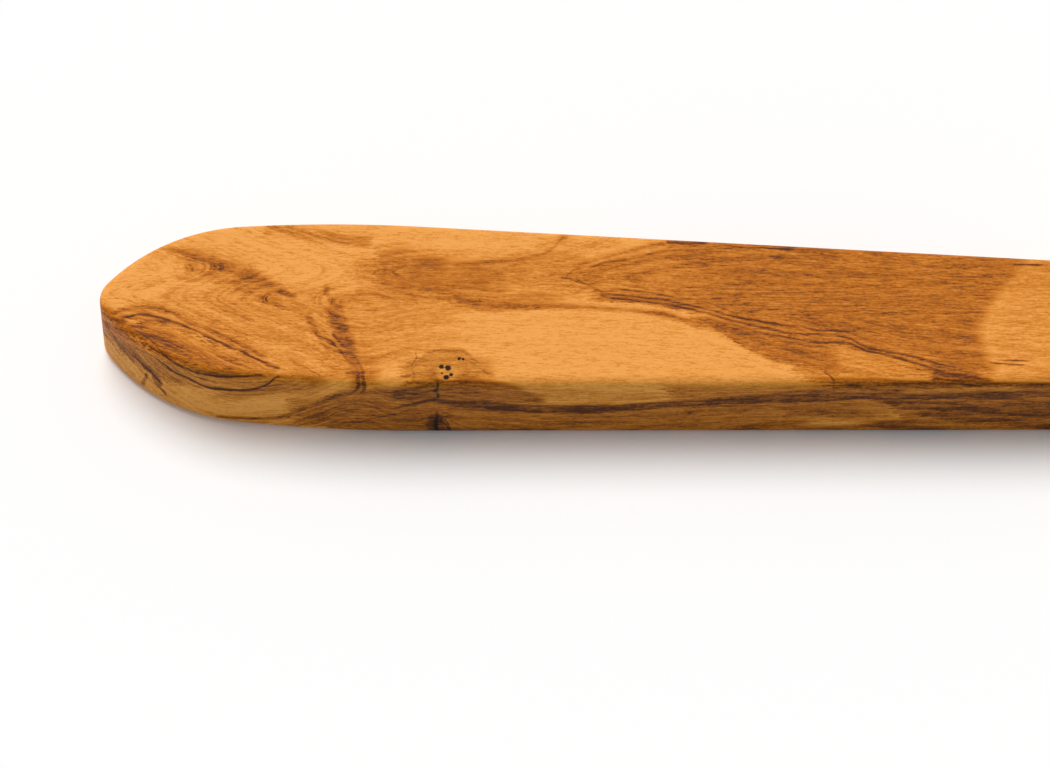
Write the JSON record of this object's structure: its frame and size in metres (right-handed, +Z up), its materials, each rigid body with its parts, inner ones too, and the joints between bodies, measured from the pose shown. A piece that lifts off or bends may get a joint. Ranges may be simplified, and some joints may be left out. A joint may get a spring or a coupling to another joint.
{
  "type": "flat file",
  "caption": "Double-cut flat file for metalwork, its tang driven into a flat olive-wood slab handle with a pinned brass ferrule.",
  "frame": {"origin": "middle of the footprint of the whole file, on the plane of the handle's flat underside", "axes": "+X along the file from the butt of the handle to the point of the blade, +Y across the handle, +Z up out of the handle's upper face"},
  "size_m": [0.365, 0.028, 0.0135],
  "materials": {
    "olive_wood": "oiled olive wood, fine sanded, low satin sheen",
    "ferrule_brass": "sheet brass, finely brushed along its length",
    "pin_brass": "drawn brass, bright domed head",
    "file_steel": "hardened tool steel, grey, cut with teeth, plain at the heel and tang"
  },
  "bodies": {
    "root": {"handle": "olive_wood", "ferrule": "ferrule_brass", "ferrule_pins": "pin_brass", "file_blade": "file_steel"}
  },
  "joints": []
}
